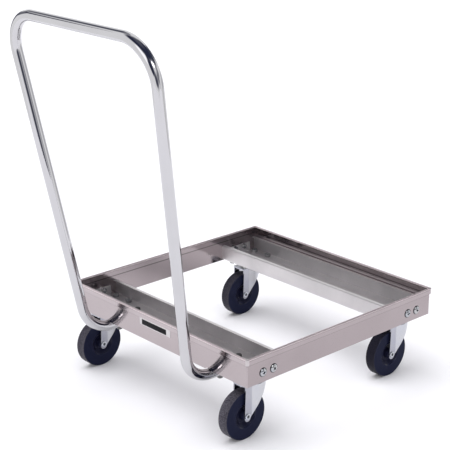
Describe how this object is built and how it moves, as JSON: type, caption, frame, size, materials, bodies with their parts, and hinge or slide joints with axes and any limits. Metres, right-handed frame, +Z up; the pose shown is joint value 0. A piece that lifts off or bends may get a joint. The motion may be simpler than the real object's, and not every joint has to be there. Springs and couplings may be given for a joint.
{
  "type": "dish rack dolly",
  "caption": "Low dolly for square dish racks: a shallow hemmed sheet-steel tray frame on swivel casters, with a tall bent tube push handle leaning out from the front edge.",
  "frame": {"origin": "on the floor under the middle of the whole dolly, handle included", "axes": "+Z up; the handle stands on the -Y side; +X to the right for someone facing the handle side"},
  "size_m": [0.547, 0.7174, 0.81],
  "materials": {
    "stainless": "satin",
    "chrome": "polished",
    "zinc": "bright zinc plate",
    "bearing_steel": "polished",
    "rubber": "matte",
    "core": "matte"
  },
  "bodies": {
    "frame": {"front_wall": "stainless", "right_wall": "stainless", "rear_wall": "stainless", "left_wall": "stainless", "corner_welds": "stainless", "front_channel": "stainless", "rear_channel": "stainless", "channel_screws": "zinc", "channel_nuts": "zinc", "handle_tube": "chrome", "handle_bolts": "zinc", "handle_nuts": "zinc", "plate_bolts": "zinc", "plate_nuts": "zinc", "front_left_top_plate": "zinc", "front_left_kingpin": "zinc", "front_left_thrust_washer": "zinc", "front_right_top_plate": "zinc", "front_right_kingpin": "zinc", "front_right_thrust_washer": "zinc", "rear_left_top_plate": "zinc", "rear_left_kingpin": "zinc", "rear_left_thrust_washer": "zinc", "rear_right_top_plate": "zinc", "rear_right_kingpin": "zinc", "rear_right_thrust_washer": "zinc"},
    "front_left_swivel": {"front_left_fork": "zinc", "front_left_load_balls": "bearing_steel", "front_left_axle_rivet": "zinc", "front_left_axle_bushing": "zinc"},
    "front_left_wheel": {"front_left_wheel_core": "core", "front_left_tyre": "rubber"},
    "front_right_swivel": {"front_right_fork": "zinc", "front_right_load_balls": "bearing_steel", "front_right_axle_rivet": "zinc", "front_right_axle_bushing": "zinc"},
    "front_right_wheel": {"front_right_wheel_core": "core", "front_right_tyre": "rubber"},
    "rear_left_swivel": {"rear_left_fork": "zinc", "rear_left_load_balls": "bearing_steel", "rear_left_axle_rivet": "zinc", "rear_left_axle_bushing": "zinc"},
    "rear_left_wheel": {"rear_left_wheel_core": "core", "rear_left_tyre": "rubber"},
    "rear_right_swivel": {"rear_right_fork": "zinc", "rear_right_load_balls": "bearing_steel", "rear_right_axle_rivet": "zinc", "rear_right_axle_bushing": "zinc"},
    "rear_right_wheel": {"rear_right_wheel_core": "core", "rear_right_tyre": "rubber"}
  },
  "joints": [
    {"name": "front_left_swivel_turn", "type": "hinge", "parent": "frame", "child": "front_left_swivel", "pos_m": [-0.228, -0.12225, 0.1174], "axis": [0, 0, 1], "continuous": true},
    {"name": "front_left_wheel_spin", "type": "hinge", "parent": "front_left_swivel", "child": "front_left_wheel", "pos_m": [-0.228, -0.15275, 0.0508], "axis": [1, 0, 0], "continuous": true},
    {"name": "front_right_swivel_turn", "type": "hinge", "parent": "frame", "child": "front_right_swivel", "pos_m": [0.228, -0.12225, 0.1174], "axis": [0, 0, 1], "continuous": true},
    {"name": "front_right_wheel_spin", "type": "hinge", "parent": "front_right_swivel", "child": "front_right_wheel", "pos_m": [0.228, -0.15275, 0.0508], "axis": [1, 0, 0], "continuous": true},
    {"name": "rear_left_swivel_turn", "type": "hinge", "parent": "frame", "child": "rear_left_swivel", "pos_m": [-0.228, 0.29975, 0.1174], "axis": [0, 0, 1], "continuous": true},
    {"name": "rear_left_wheel_spin", "type": "hinge", "parent": "rear_left_swivel", "child": "rear_left_wheel", "pos_m": [-0.228, 0.26925, 0.0508], "axis": [1, 0, 0], "continuous": true},
    {"name": "rear_right_swivel_turn", "type": "hinge", "parent": "frame", "child": "rear_right_swivel", "pos_m": [0.228, 0.29975, 0.1174], "axis": [0, 0, 1], "continuous": true},
    {"name": "rear_right_wheel_spin", "type": "hinge", "parent": "rear_right_swivel", "child": "rear_right_wheel", "pos_m": [0.228, 0.26925, 0.0508], "axis": [1, 0, 0], "continuous": true}
  ]
}
